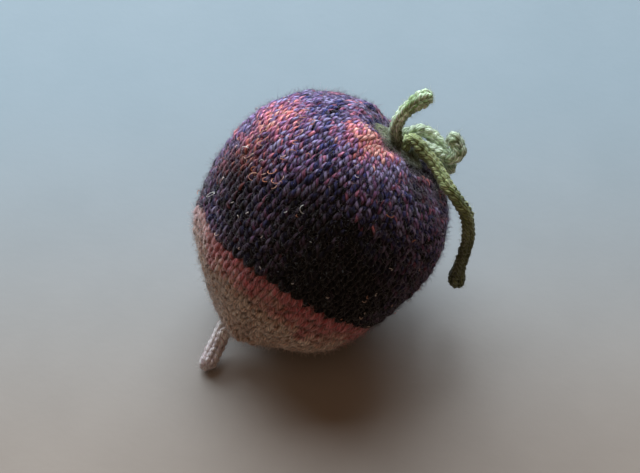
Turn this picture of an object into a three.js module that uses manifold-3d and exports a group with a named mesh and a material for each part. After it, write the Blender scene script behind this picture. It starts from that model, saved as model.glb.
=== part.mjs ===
// Knitted toy beetroot: a stuffed ball in two yarns, a knitted root that touches the table,
// and four knitted stems that stand on a green patch sunk in the crown.
// Millimetres, +Z up. The origin is the middle of the flat spot that the ball rests on.

import * as THREE from "three";
import { mergeVertices } from "three/addons/utils/BufferGeometryUtils.js";
import Module from "manifold-3d";

// How the ball lies: the line from its root to its crown is raised above the table
// and turned from +X towards +Y.
const CROWN_RAISE_DEG = 39.35;
const CROWN_TURN_DEG = 30.4;
const BALL_CENTRE_HEIGHT = 37;

// The knitted covers.
const WALL = 2.2;
const GAP = 0.3;
const OPENING_AT_CROWN = 7;
const BOW = 2.3; // how far the middle of the ball bulges to one side of the root-to-crown line
const BOW_TURN_DEG = 65; // that side, turned about the line from straight up
const BOW_LEAN = 1.6; // how much more it bulges nearer the crown, and less nearer the root

// Half of the ball's outline, as [radius, height along the root-to-crown line].
const CROWN_END = 30.9;
const ROOT_END = -44;
const OUTLINE = [
  [3.2, ROOT_END],
  [6.9, -42.6],
  [15.4, -37.4],
  [28.3, -27.5],
  [34.0, -13.0],
  [36.3, 3.0],
  [34.1, 17.0],
  [27.5, 27.2],
  [18.4, 32.8],
  [14.2, 34.2],
  [10.2, 32.0],
  [OPENING_AT_CROWN, CROWN_END],
];

// The colour change is a tilted ring round the ball.
const COLOUR_CHANGE_HEIGHT = -18;
const COLOUR_CHANGE_TILT_DEG = 11.8;
const COLOUR_CHANGE_TURN_DEG = 265.6;

// The green patch in the crown, and the knitted cords.
const PATCH_RADIUS = 9.3;
const PATCH_THICKNESS = 1.3;
const PATCH_RIM_WIDTH = 3.3;
const PATCH_RIM_LIFT = 0.9; // its rim turns up with the sides of the dimple
const STEM_DIAMETER = 4.1;
const STEM_SWELL = 1.35; // a stem's free end is this much wider than its middle
const ROOT_DIAMETER = 5.6;
const ROOT_SWELL = 1; // the root is as wide at its free end as in its middle

// The yarns and the filling.
const DARK_YARN = 0x3c3048;
const PALE_YARN = 0xc8a898;
const ROOT_YARN = 0xc4b4b4;
const GREEN_YARN = 0x8c9472;
const FILLING = 0xe6e2d8;
const YARN_ROUGHNESS = 0.9;

// Fineness of the round shapes.
const ROUND_STEPS = 44;
const OUTLINE_STEPS = 22;
const CORD_SIDES = 10;
const CORD_STEP = 1.6;
const WORK_BLOCK = 200; // a block larger than the whole toy, for cutting

// Each route runs down the middle of a cord from its sewn end, in the ball's own
// upright frame, whose origin is the ball's centre.
const ROOT_ROUTE = [
  [-29.5, -17.3, -28.1],
  [-31.0, -18.6, -29.7],
  [-32.6, -21.2, -31.8],
  [-34.3, -24.3, -33.5],
  [-35.5, -26.9, -34.0],
  [-36.5, -29.0, -34.2],
];
const UPRIGHT_ROUTE = [
  [20.5, 11.7, 23.1],
  [21.5, 12.3, 24.1],
  [20.8, 13.4, 27.3],
  [21.3, 13.9, 29.7],
  [22.4, 14.6, 32.2],
  [24.0, 15.3, 34.3],
  [25.8, 16.0, 36.0],
  [27.8, 16.6, 37.3],
  [29.8, 17.0, 38.3],
  [32.2, 16.9, 38.6],
];
const TRAILING_ROUTE = [
  [23.0, 13.5, 19.4],
  [25.1, 14.7, 21.4],
  [26.7, 13.0, 23.2],
  [30.3, 8.6, 21.9],
  [33.5, 4.3, 20.4],
  [36.1, -1.1, 19.4],
  [39.1, -4.0, 16.5],
  [41.6, -5.4, 12.2],
  [42.8, -6.3, 5.2],
  [42.4, -6.7, -2.6],
  [41.1, -6.9, -10.4],
  [40.1, -6.8, -17.6],
  [39.9, -7.1, -21.5],
];
const ARCHED_ROUTE = [
  [22.4, 17.9, 17.2],
  [24.3, 18.9, 18.9],
  [26.3, 19.0, 19.9],
  [28.5, 19.2, 20.5],
  [30.7, 18.8, 20.0],
  [33.0, 17.7, 18.6],
  [35.0, 16.3, 16.5],
  [36.1, 14.5, 14.4],
  [36.9, 12.2, 12.6],
  [37.4, 9.7, 11.4],
];
const HOOKED_ROUTE = [
  [26.6, 12.9, 16.0],
  [28.2, 13.8, 17.5],
  [30.4, 13.9, 18.8],
  [32.9, 12.5, 18.9],
  [35.3, 10.9, 18.4],
  [37.6, 10.1, 18.3],
  [39.5, 10.7, 19.2],
  [39.9, 12.5, 20.7],
  [38.6, 14.4, 21.9],
  [36.4, 15.7, 22.6],
];

const wasm = await Module();
wasm.setup();

const rad = THREE.MathUtils.degToRad;

// The ball's own axes: CROWN runs from root to crown, RISE is square to it and
// points as far up as it can, and SIDE is level.
const CROWN = new THREE.Vector3(
  Math.cos(rad(CROWN_RAISE_DEG)) * Math.cos(rad(CROWN_TURN_DEG)),
  Math.cos(rad(CROWN_RAISE_DEG)) * Math.sin(rad(CROWN_TURN_DEG)),
  Math.sin(rad(CROWN_RAISE_DEG)),
);
const SIDE = new THREE.Vector3(0, 0, 1).cross(CROWN).normalize();
const RISE = CROWN.clone().cross(SIDE);
const BALL_AXES = new THREE.Matrix4().makeBasis(RISE, CROWN, SIDE);

// A direction square to the root-to-crown line, turned about it from straight up.
function around(degrees) {
  return RISE.clone()
    .multiplyScalar(Math.cos(rad(degrees)))
    .addScaledVector(SIDE, Math.sin(rad(degrees)));
}

// A closed three.js geometry as a manifold-3d solid, and back.
function solidOf(geometry) {
  const bare = geometry.clone();
  bare.deleteAttribute("normal");
  bare.deleteAttribute("uv");
  const merged = mergeVertices(bare, 1e-4);
  return new wasm.Manifold(
    new wasm.Mesh({
      numProp: 3,
      vertProperties: merged.getAttribute("position").array,
      triVerts: new Uint32Array(merged.index.array),
    }),
  );
}

function geometryOf(solid) {
  const mesh = solid.getMesh();
  const geometry = new THREE.BufferGeometry();
  geometry.setAttribute("position", new THREE.BufferAttribute(mesh.vertProperties, mesh.numProp));
  geometry.setIndex(new THREE.BufferAttribute(mesh.triVerts, 1));
  const faceted = geometry.toNonIndexed();
  faceted.computeVertexNormals();
  return faceted;
}

// A large block whose face passes through a point, with the block on the side that
// the direction points to.
function halfSpace(point, direction) {
  const block = new THREE.BoxGeometry(WORK_BLOCK, WORK_BLOCK, WORK_BLOCK);
  block.translate(0, 0, WORK_BLOCK / 2);
  const turn = new THREE.Quaternion().setFromUnitVectors(new THREE.Vector3(0, 0, 1), direction);
  block.applyQuaternion(turn).translate(point.x, point.y, point.z);
  return solidOf(block);
}

// The outline as a smooth run of points from the root to the crown.
function outline() {
  const curve = new THREE.SplineCurve(OUTLINE.map(([r, a]) => new THREE.Vector2(r, a)));
  return curve.getSpacedPoints(OUTLINE_STEPS);
}

// The outline moved inwards by a distance.
function inset(points, distance) {
  return points.map((point, i) => {
    const before = points[Math.max(i - 1, 0)];
    const after = points[Math.min(i + 1, points.length - 1)];
    const along = after.clone().sub(before).normalize();
    return new THREE.Vector2(point.x - along.y * distance, point.y + along.x * distance);
  });
}

// A shape turned about the root-to-crown line, bowed as the ball is and laid at its tilt.
function turned(profile) {
  const geometry = new THREE.LatheGeometry(profile, ROUND_STEPS);
  const position = geometry.getAttribute("position");
  const middle = (CROWN_END + ROOT_END) / 2;
  const half = (CROWN_END - ROOT_END) / 2;
  for (let i = 0; i < position.count; i++) {
    const along = (position.getY(i) - middle) / half;
    const bow = (BOW + BOW_LEAN * along) * Math.max(0, 1 - along ** 2);
    position.setX(i, position.getX(i) + bow * Math.cos(rad(BOW_TURN_DEG)));
    position.setZ(i, position.getZ(i) + bow * Math.sin(rad(BOW_TURN_DEG)));
  }
  return geometry.applyMatrix4(BALL_AXES);
}

// A knitted cord: a round section swept along its route, swelling towards its free end.
function cord(route, diameter, swell) {
  const curve = new THREE.CatmullRomCurve3(route.map((p) => new THREE.Vector3(...p)));
  const steps = Math.ceil(curve.getLength() / CORD_STEP);
  const section = new THREE.Shape();
  for (let i = 0; i < CORD_SIDES; i++) {
    const turn = (i / CORD_SIDES) * 2 * Math.PI;
    const x = (diameter / 2) * Math.cos(turn);
    const y = (diameter / 2) * Math.sin(turn);
    if (i === 0) section.moveTo(x, y);
    else section.lineTo(x, y);
  }
  const geometry = new THREE.ExtrudeGeometry(section, { steps, extrudePath: curve });
  const tip = new THREE.Vector3(...route[route.length - 1]);
  const position = geometry.getAttribute("position");
  const point = new THREE.Vector3();
  for (let i = 0; i < position.count; i++) {
    point.fromBufferAttribute(position, i);
    const nearness = Math.max(0, 1 - point.distanceTo(tip) / (2 * diameter));
    const middle = nearestOn(curve, steps, point);
    point.sub(middle).multiplyScalar(1 + (swell - 1) * nearness).add(middle);
    position.setXYZ(i, point.x, point.y, point.z);
  }
  return geometry;
}

// The one of a curve's evenly spaced points that is nearest to a point.
function nearestOn(curve, steps, point) {
  const along = curve.getSpacedPoints(steps);
  return along.reduce((best, p) => (p.distanceTo(point) < best.distanceTo(point) ? p : best));
}

function named(name, geometry, colour, roughness) {
  const material = new THREE.MeshStandardMaterial({ color: colour, roughness, metalness: 0 });
  const mesh = new THREE.Mesh(geometry, material);
  mesh.name = name;
  return mesh;
}

// The two covers are one turned shell, parted along the tilted ring and flattened underneath.
function covers() {
  const outer = outline();
  const inner = inset(outer, WALL).reverse();
  const shell = solidOf(turned([...outer, ...inner, outer[0]]));
  const lean = around(COLOUR_CHANGE_TURN_DEG);
  const square = CROWN.clone()
    .addScaledVector(lean, -Math.tan(rad(COLOUR_CHANGE_TILT_DEG)))
    .normalize();
  const ring = CROWN.clone().multiplyScalar(COLOUR_CHANGE_HEIGHT);
  const above = ring.clone().addScaledVector(square, GAP / 2);
  const below = ring.clone().addScaledVector(square, -GAP / 2);
  const floor = halfSpace(new THREE.Vector3(0, 0, -BALL_CENTRE_HEIGHT), new THREE.Vector3(0, 0, 1));
  const dark = shell.intersect(halfSpace(above, square));
  const pale = shell.intersect(halfSpace(below, square.clone().negate())).intersect(floor);
  return [
    named("dark_cover", geometryOf(dark), DARK_YARN, YARN_ROUGHNESS),
    named("pale_cover", geometryOf(pale), PALE_YARN, YARN_ROUGHNESS),
  ];
}

// The filling takes up the inside of both covers.
function stuffing() {
  const inside = inset(outline(), WALL + GAP);
  const bottom = new THREE.Vector2(0, inside[0].y);
  const top = new THREE.Vector2(0, inside[inside.length - 1].y);
  const lowest = new THREE.Vector3(0, 0, WALL + GAP - BALL_CENTRE_HEIGHT);
  const floor = halfSpace(lowest, new THREE.Vector3(0, 0, 1));
  const filled = solidOf(turned([bottom, ...inside, top])).intersect(floor);
  return named("stuffing", geometryOf(filled), FILLING, 1);
}

// The patch lies in the bottom of the dimple, over the dark cover's opening.
function crownPatch() {
  const under = CROWN_END + GAP;
  const flat = PATCH_RADIUS - PATCH_RIM_WIDTH;
  const profile = [
    new THREE.Vector2(0, under),
    new THREE.Vector2(flat, under),
    new THREE.Vector2(PATCH_RADIUS, under + PATCH_RIM_LIFT),
    new THREE.Vector2(PATCH_RADIUS, under + PATCH_RIM_LIFT + PATCH_THICKNESS / 2),
    new THREE.Vector2(flat, under + PATCH_THICKNESS),
    new THREE.Vector2(0, under + PATCH_THICKNESS),
  ];
  return named("crown_patch", turned(profile), GREEN_YARN, YARN_ROUGHNESS);
}

const group = new THREE.Group();
group.position.z = BALL_CENTRE_HEIGHT;
group.add(
  ...covers(),
  stuffing(),
  crownPatch(),
  named("root_cord", cord(ROOT_ROUTE, ROOT_DIAMETER, ROOT_SWELL), ROOT_YARN, YARN_ROUGHNESS),
  named("upright_stem", cord(UPRIGHT_ROUTE, STEM_DIAMETER, STEM_SWELL), GREEN_YARN, YARN_ROUGHNESS),
  named("trailing_stem", cord(TRAILING_ROUTE, STEM_DIAMETER, STEM_SWELL), GREEN_YARN, YARN_ROUGHNESS),
  named("arched_stem", cord(ARCHED_ROUTE, STEM_DIAMETER, STEM_SWELL), GREEN_YARN, YARN_ROUGHNESS),
  named("hooked_stem", cord(HOOKED_ROUTE, STEM_DIAMETER, STEM_SWELL), GREEN_YARN, YARN_ROUGHNESS),
);

export default group;
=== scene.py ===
"""A stuffed toy beetroot, knitted in the round, that lies on a pale painted table.

The strands of yarn are modelled one by one: each round of knitting is a closed strand whose
loops reach through the round below. Metres, +Z up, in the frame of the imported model.
"""

import logging
import math
from dataclasses import dataclass, field, replace
from enum import Enum

import bmesh
import bpy
import numpy as np
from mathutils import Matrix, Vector
from mathutils.bvhtree import BVHTree


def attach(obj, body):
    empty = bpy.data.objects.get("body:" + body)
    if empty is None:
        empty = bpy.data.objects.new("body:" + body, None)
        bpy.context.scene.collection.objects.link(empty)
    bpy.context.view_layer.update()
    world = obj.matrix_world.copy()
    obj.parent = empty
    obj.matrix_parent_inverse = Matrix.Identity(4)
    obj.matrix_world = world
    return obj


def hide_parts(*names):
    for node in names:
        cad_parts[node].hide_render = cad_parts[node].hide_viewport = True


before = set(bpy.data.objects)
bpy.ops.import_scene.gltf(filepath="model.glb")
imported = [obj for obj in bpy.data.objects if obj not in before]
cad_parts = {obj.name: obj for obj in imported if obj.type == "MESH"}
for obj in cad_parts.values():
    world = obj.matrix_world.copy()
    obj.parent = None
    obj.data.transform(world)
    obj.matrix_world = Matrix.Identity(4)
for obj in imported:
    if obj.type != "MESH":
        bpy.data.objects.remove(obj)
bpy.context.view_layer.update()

log = logging.getLogger("beetroot")

MM = 0.001
BODY = "root"

# How the ball lies: its middle, and the line from its root to its crown.
BALL_CENTRE = Vector((0.0, 0.0, 37.0 * MM))
CROWN_RAISE_DEG = 39.35
CROWN_TURN_DEG = 30.4

# The colour change is a tilted ring round the ball, and these are the rounds on its two sides.
RING_HEIGHT = -18.0 * MM
RING_TILT_DEG = 11.8
RING_TURN_DEG = 265.6
RING_SAG = 0.7 * MM
# Where the ring wanders towards the root or, if less than 0, the crown: angle, width and amount.
RING_DIPS = ((292.0, 22.0, 1.2 * MM), (30.0, 15.0, -4.0 * MM))
PALE_ROUNDS = 12
DARK_ROUNDS = 22

# The middle lines of the root and the stems, from their sewn ends, in mm from the ball's middle.
ROOT_ROUTE = [
    (-29.5, -17.3, -28.1), (-31.0, -18.6, -29.7), (-32.6, -21.2, -31.8), (-34.3, -24.3, -33.5),
    (-35.5, -26.9, -34.0), (-36.5, -29.0, -34.2),
]
UPRIGHT_ROUTE = [
    (20.5, 11.7, 23.1), (21.5, 12.3, 24.1), (20.8, 13.4, 27.3), (21.3, 13.9, 29.7),
    (22.4, 14.6, 32.2), (24.0, 15.3, 34.3), (25.8, 16.0, 36.0), (27.8, 16.6, 37.3),
    (29.8, 17.0, 38.3), (32.2, 16.9, 38.6),
]
TRAILING_ROUTE = [
    (23.0, 13.5, 19.4), (25.1, 14.7, 21.4), (26.7, 13.0, 23.2), (30.3, 8.6, 21.9),
    (33.5, 4.3, 20.4), (36.1, -1.1, 19.4), (39.1, -4.0, 16.5), (41.6, -5.4, 12.2),
    (42.8, -6.3, 5.2), (42.4, -6.7, -2.6), (41.1, -6.9, -10.4), (40.1, -6.8, -17.6),
    (39.9, -7.1, -21.5),
]
ARCHED_ROUTE = [
    (22.4, 17.9, 17.2), (24.3, 18.9, 18.9), (26.3, 19.0, 19.9), (28.5, 19.2, 20.5),
    (30.7, 18.8, 20.0), (33.0, 17.7, 18.6), (35.0, 16.3, 16.5), (36.1, 14.5, 14.4),
    (36.9, 12.2, 12.6), (37.4, 9.7, 11.4),
]
HOOKED_ROUTE = [
    (26.6, 12.9, 16.0), (28.2, 13.8, 17.5), (30.4, 13.9, 18.8), (32.9, 12.5, 18.9),
    (35.3, 10.9, 18.4), (37.6, 10.1, 18.3), (39.5, 10.7, 19.2), (39.9, 12.5, 20.7),
    (38.6, 14.4, 21.9), (36.4, 15.7, 22.6),
]
STEM_DIAMETER = 4.1 * MM
ROOT_DIAMETER = 5.6 * MM


# ---------------------------------------------------------------- shader helpers


def srgb(red: int, green: int, blue: int) -> tuple[float, float, float, float]:
    """Turn a screen colour into the linear colour that a shader works in.

    Args:
        red: Red, from 0 to 255.
        green: Green, from 0 to 255.
        blue: Blue, from 0 to 255.

    Returns:
        Linear red, green, blue and an alpha of 1.
    """
    parts = [value / 255 for value in (red, green, blue)]
    linear = [p / 12.92 if p <= 0.04045 else ((p + 0.055) / 1.055) ** 2.4 for p in parts]
    return (*linear, 1.0)


class Wire:
    """A shader socket that arithmetic can be written on."""

    def __init__(self, graph: "Graph", socket: bpy.types.NodeSocket) -> None:
        """Keep the socket and the graph that new nodes go into."""
        self.graph = graph
        self.socket = socket

    def __add__(self, other: "Wire | float") -> "Wire":
        """Add a number or another wire."""
        return self.graph.math("ADD", self, other)

    def __radd__(self, other: float) -> "Wire":
        """Add to a number."""
        return self.graph.math("ADD", other, self)

    def __sub__(self, other: "Wire | float") -> "Wire":
        """Take away a number or another wire."""
        return self.graph.math("SUBTRACT", self, other)

    def __rsub__(self, other: float) -> "Wire":
        """Take this from a number."""
        return self.graph.math("SUBTRACT", other, self)

    def __mul__(self, other: "Wire | float") -> "Wire":
        """Multiply by a number or another wire."""
        return self.graph.math("MULTIPLY", self, other)

    def __rmul__(self, other: float) -> "Wire":
        """Multiply a number by this."""
        return self.graph.math("MULTIPLY", other, self)


class Graph:
    """The node tree of one material."""

    def __init__(self, name: str) -> None:
        """Start a material with an empty node tree.

        Args:
            name: The material's name.
        """
        self.material = bpy.data.materials.new(name)
        self.material.use_nodes = True
        self.tree = self.material.node_tree
        self.tree.nodes.clear()

    def node(self, kind: str, settings: dict | None = None, inputs: dict | None = None,
             out: int | str = 0) -> Wire:
        """Add a node.

        Args:
            kind: The node's type, without "ShaderNode".
            settings: Properties set before the sockets; "stops" is a ramp's list of
                positions and colours.
            inputs: Values or wires by the name or number of the socket.
            out: The name or number of the output that is wanted.

        Returns:
            That output as a wire.
        """
        made = self.tree.nodes.new("ShaderNode" + kind)
        for key, value in (settings or {}).items():
            if key == "stops":
                self._set_stops(made.color_ramp, value)
            else:
                setattr(made, key, value)
        for key, value in (inputs or {}).items():
            if isinstance(value, Wire):
                self.tree.links.new(value.socket, made.inputs[key])
            else:
                made.inputs[key].default_value = value
        return Wire(self, made.outputs[out]) if made.outputs else Wire(self, made.inputs[0])

    @staticmethod
    def _set_stops(ramp: bpy.types.ColorRamp, stops: list[tuple[float, tuple]]) -> None:
        """Give a ramp its stops.

        Args:
            ramp: The ramp.
            stops: Positions and colours, in order of position.
        """
        while len(ramp.elements) < len(stops):
            ramp.elements.new(1.0)
        for element, (position, colour) in zip(ramp.elements, stops):
            element.position = position
            element.color = colour

    def math(self, operation: str, *values: "Wire | float") -> Wire:
        """Add a Math node that works on values."""
        return self.node("Math", {"operation": operation}, dict(enumerate(values)))

    def mix(self, share: "Wire | float", one: "Wire | tuple", two: "Wire | tuple",
            blend: str = "MIX") -> Wire:
        """Mix two colours.

        Args:
            share: How much of the second colour shows.
            one: The first colour.
            two: The second colour.
            blend: The way of mixing.

        Returns:
            The mixed colour.
        """
        settings = {"data_type": "RGBA", "blend_type": blend}
        return self.node("Mix", settings, {0: share, 6: one, 7: two}, out=2)

    def between(self, value: Wire, low: float, high: float) -> Wire:
        """Go smoothly from 0 at low to 1 at high.

        Args:
            value: The value looked at.
            low: Where the result starts to leave 0.
            high: Where the result reaches 1.

        Returns:
            A number from 0 to 1.
        """
        settings = {"interpolation_type": "SMOOTHSTEP"}
        return self.node("MapRange", settings, {0: value, 1: low, 2: high})

    def noise(self, place: Wire, scale: float, detail: float = 2.0, roughness: float = 0.5) -> Wire:
        """Look up soft noise that runs from about 0.25 to 0.75.

        Args:
            place: The vector at which it is read.
            scale: How many waves go in one unit.
            detail: How many finer layers are added.
            roughness: How strong the finer layers are.

        Returns:
            The noise as a number.
        """
        inputs = {"Vector": place, "Scale": scale, "Detail": detail, "Roughness": roughness}
        return self.node("TexNoise", {"noise_dimensions": "3D"}, inputs, out="Fac")

    def vector(self, x: "Wire | float", y: "Wire | float", z: "Wire | float") -> Wire:
        """Join three numbers in a vector."""
        return self.node("CombineXYZ", inputs={0: x, 1: y, 2: z})

    def parts(self, vector: Wire) -> list[Wire]:
        """Split a vector in its three numbers."""
        first = self.node("SeparateXYZ", inputs={0: vector})
        return [Wire(self, socket) for socket in first.socket.node.outputs]

    def bump(self, strength: float, height: Wire, distance: float = 0.3 * MM) -> Wire:
        """Raise a surface in a bump.

        Args:
            strength: How strongly it shows.
            height: The height, from 0 to 1.
            distance: How far a height of 1 stands up.

        Returns:
            The changed normal.
        """
        inputs = {"Strength": strength, "Distance": distance, "Height": height}
        return self.node("Bump", inputs=inputs)

    def finish(self, surface: Wire) -> bpy.types.Material:
        """Send a shader to the material's output.

        Args:
            surface: The shader.

        Returns:
            The finished material.
        """
        self.node("OutputMaterial", inputs={"Surface": surface})
        return self.material


# ---------------------------------------------------------------- yarn finishes


@dataclass(frozen=True)
class YarnCoordinates:
    """Where a point lies on a strand of yarn, as wires of a material."""

    along: Wire
    phase: Wire
    ply: Wire
    strand: Wire
    row: Wire
    depth: Wire
    place: Wire


@dataclass(frozen=True)
class ColourPatch:
    """A soft round patch of the toy where a yarn's colour is pushed one way: some stand for dye
    that runs to one colour, most for painted shade or painted light.
    """

    middle: tuple[float, float, float]
    radius: float
    shift: float
    even_share: float = 0.2

    def reach(self, graph: "Graph", place: Wire) -> Wire:
        """Work out how strongly the patch works at a place.

        Args:
            graph: The material that is being made.
            place: The place.

        Returns:
            The patch's shift in its middle, fading to 0 at its radius.
        """
        settings, ends = {"operation": "DISTANCE"}, {0: place, 1: self.middle}
        offset = graph.node("VectorMath", settings, ends, out="Value")
        fading = graph.between(offset, self.even_share * self.radius, self.radius)
        return (1.0 - fading) * self.shift


def colour_patch(x: float, y: float, z: float, radius: float, shift: float) -> ColourPatch:
    """Make a colour patch from its middle and radius in millimetres."""
    return ColourPatch((x * MM, y * MM, z * MM), radius * MM, shift)


@dataclass(frozen=True)
class YarnFinish:
    """Soft woollen yarn; each kind of yarn says how its colour changes along it."""

    name: str
    slot: str
    plies: int = 6
    ply_length: float = 6.5 * MM
    groove_shade: float = 0.8
    depth_shade: float = 0.7
    fibre_waves: float = 700.0
    fibres_a_ply: float = 4.5
    fuzz_bump: float = 0.8
    sheen: float = 0.4
    brightness: float = 1.0
    see_through: float = 0.3
    glow_depth: float = 1.5 * MM
    # Patches where the yarn's colour is pushed one way; most are painted shade or painted light.
    colour_patches: tuple[ColourPatch, ...] = ()

    def colour(self, graph: Graph, at: YarnCoordinates) -> Wire:
        """Return the yarn's own colour; each kind of yarn has its own."""
        raise NotImplementedError

    def read(self, graph: Graph) -> YarnCoordinates:
        """Read the strand's attributes.

        Args:
            graph: The material that is being made.

        Returns:
            The wires that say where a point lies on its strand.
        """
        laid = graph.node("Attribute", {"attribute_name": "strand"}, out="Vector")
        start, length, number = graph.parts(laid)
        share, around, _ = graph.parts(graph.node("UVMap", {"uv_map": "UVMap"}))
        along = start + share * length
        phase = (around + along * (1.0 / self.ply_length)) * float(self.plies)
        ply = graph.math("FLOORED_MODULO", graph.math("FLOOR", phase), float(self.plies))
        row = graph.node("Attribute", {"attribute_name": "row"}, out="Fac")
        depth = graph.node("Attribute", {"attribute_name": "depth"}, out="Fac")
        place = graph.node("TexCoord", out="Object")
        return YarnCoordinates(along, phase, ply, number, row, depth, place)

    def material(self) -> bpy.types.Material:
        """Make the material: twisted plies with dark grooves between them, and loose fibres; the
        grooves, and where a strand dips behind the fabric, are darkened as painted shade.

        Returns:
            The material.
        """
        graph = Graph(self.name)
        at = self.read(graph)
        ridge = graph.math("SINE", graph.math("FRACT", at.phase) * math.pi)
        combed = graph.vector(
            at.along * self.fibre_waves, at.phase * self.fibres_a_ply, at.strand * 2.3)
        fibres = graph.between(graph.noise(combed, 1.0, 3.0, 0.7), 0.32, 0.68)
        groove = graph.between(ridge, 0.05, 0.85) * self.groove_shade + (1.0 - self.groove_shade)
        shade = groove * (0.5 + fibres) * (1.0 - self.depth_shade * at.depth) * self.brightness
        grey = graph.vector(shade, shade, shade)
        colour = graph.mix(1.0, self.colour(graph, at), grey, "MULTIPLY")
        height = ridge * 0.8 + fibres * 0.35
        bump = graph.bump(self.fuzz_bump, height)
        shader = graph.node("BsdfPrincipled", inputs={
            "Base Color": colour, "Roughness": 0.9, "Specular IOR Level": 0.1,
            "Sheen Weight": self.sheen, "Sheen Roughness": 0.4, "Normal": bump,
            "Subsurface Weight": self.see_through, "Subsurface Radius": (1.0, 1.0, 1.0),
            "Subsurface Scale": self.glow_depth,
        })
        return graph.finish(shader)


# The marled yarn's run of dyes: soot, navy, lilac, plum, rose and salmon.
MARL_STOPS = [
    (0.00, srgb(20, 17, 20)), (0.18, srgb(46, 38, 52)), (0.29, srgb(76, 80, 144)),
    (0.37, srgb(94, 74, 112)), (0.46, srgb(172, 164, 210)), (0.56, srgb(150, 118, 172)),
    (0.65, srgb(134, 80, 112)), (0.77, srgb(224, 146, 180)), (0.89, srgb(242, 140, 140)),
    (1.00, srgb(252, 184, 176)),
]


@dataclass(frozen=True)
class MarledYarn(YarnFinish):
    """Plies dyed in changing colours and twisted together: navy, purple, rose and salmon."""

    colour_waves: float = 190.0
    slow_waves: float = 12.0
    # The rounds next to the colour change and some patches are darkened towards the deep colour:
    # painted shade, which is also read in part as near-black dye.
    shade_and_dark_dye_rounds: float = 8.5
    shade_and_dark_dye_share: float = 0.86
    shade_and_dark_dye_patches: tuple[ColourPatch, ...] = ()
    # Patches on the lit side where the near-black darkening is eased: painted light.
    lit_side_patches: tuple[ColourPatch, ...] = ()
    # Warm tint in the near-black darkening, which stands for warm light in the shade: painted
    # light.
    painted_warm_fill: tuple[float, ...] = srgb(255, 238, 222)
    deep: tuple[float, ...] = srgb(22, 18, 17)

    def colour(self, graph: Graph, at: YarnCoordinates) -> Wire:
        """Give each ply its own run of colours, pushed to one side in the colour patches, then
        darken it towards near black as painted shade, which is partly read as near-black dye,
        tinted warm in that shade as painted light and eased on the lit side as painted light.

        Args:
            graph: The material that is being made.
            at: Where the point lies on its strand.

        Returns:
            The colour.
        """
        run = graph.vector(
            at.along * self.colour_waves, at.ply * 7.31 + at.strand * 3.17, at.strand * 1.7)
        tone = 0.5 + (graph.noise(run, 1.0, 2.0, 0.6) - 0.5) * 1.6 + (at.ply - 1.5) * 0.07
        slow = graph.vector(at.along * self.slow_waves, at.strand * 2.61, 4.0)
        tone = tone + (graph.noise(slow, 1.0, 1.0) - 0.5) * 0.6
        # Salmon and navy patches: dye, with painted sheen on the lit top and painted shade at the
        # front.
        for patch in self.colour_patches:
            tone = tone + patch.reach(graph, at.place)
        colour = graph.node("ValToRGB", {"stops": MARL_STOPS}, {"Fac": tone}, out="Color")
        # Painted shade, partly read as near-black dye: darken towards near black.
        deep = graph.between(at.row, self.shade_and_dark_dye_rounds, 0.5) * self.shade_and_dark_dye_share
        for patch in self.shade_and_dark_dye_patches:
            deep = graph.math("MAXIMUM", deep, patch.reach(graph, at.place))
        # Painted light: the darkening is eased where the side is lit.
        for patch in self.lit_side_patches:
            deep = deep * (1.0 - patch.reach(graph, at.place))
        # Painted warm light in the shade.
        colour = graph.mix(deep, colour, self.painted_warm_fill, "MULTIPLY")
        return graph.mix(deep, colour, self.deep)


@dataclass(frozen=True)
class FadingYarn(YarnFinish):
    """Dusty pink yarn next to the colour change, which fades unevenly to warm cream."""

    drift_waves: float = 150.0
    drift_rounds: float = 9.0
    last_pink_round: float = 0.7
    first_cream_round: float = 3.8
    mottle_waves: float = 120.0
    # Brown flecks at random that stand for the small dark holes of the fabric: painted shade.
    shade_fleck_waves: float = 620.0
    shade_fleck_share: float = 0.75
    dark_pink: tuple[float, ...] = srgb(190, 98, 104)
    light_pink: tuple[float, ...] = srgb(228, 146, 150)
    # The pink that the lit side is lightened to: painted light.
    lit_side_pink: tuple[float, ...] = srgb(250, 206, 206)
    dark_cream: tuple[float, ...] = srgb(204, 160, 138)
    light_cream: tuple[float, ...] = srgb(246, 222, 204)
    shade_fleck_brown: tuple[float, ...] = srgb(104, 70, 56)

    def colour(self, graph: Graph, at: YarnCoordinates) -> Wire:
        """Fade from pink to cream with the rounds, lighten the pink on its lit side as painted
        light, and scatter brown flecks of painted shade at random.

        Args:
            graph: The material that is being made.
            at: Where the point lies on its strand.

        Returns:
            The colour.
        """
        side = graph.parts(at.place)[0]
        drift = (graph.noise(at.place, self.drift_waves, 4.0, 0.75) - 0.5) * self.drift_rounds
        below = at.row * -1.0 + drift + side * 6.0
        cream_share = graph.between(below, self.last_pink_round, self.first_cream_round)
        run = graph.vector(at.along * self.mottle_waves, at.strand * 3.7, at.ply * 2.0)
        mottle = graph.between(graph.noise(run, 1.0, 2.0), 0.3, 0.7)
        pink = graph.mix(mottle, self.dark_pink, self.light_pink)
        # Painted light: the pink is lighter where its side is lit.
        for patch in self.colour_patches:
            pink = graph.mix(patch.reach(graph, at.place), pink, self.lit_side_pink)
        cream = graph.mix(mottle, self.dark_cream, self.light_cream)
        # Painted shade: brown flecks at random for the fabric's small dark holes.
        flecks = graph.between(graph.noise(at.place, self.shade_fleck_waves, 2.0), 0.52, 0.66)
        faded = graph.mix(cream_share, pink, cream)
        return graph.mix(flecks * self.shade_fleck_share, faded, self.shade_fleck_brown)


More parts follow.
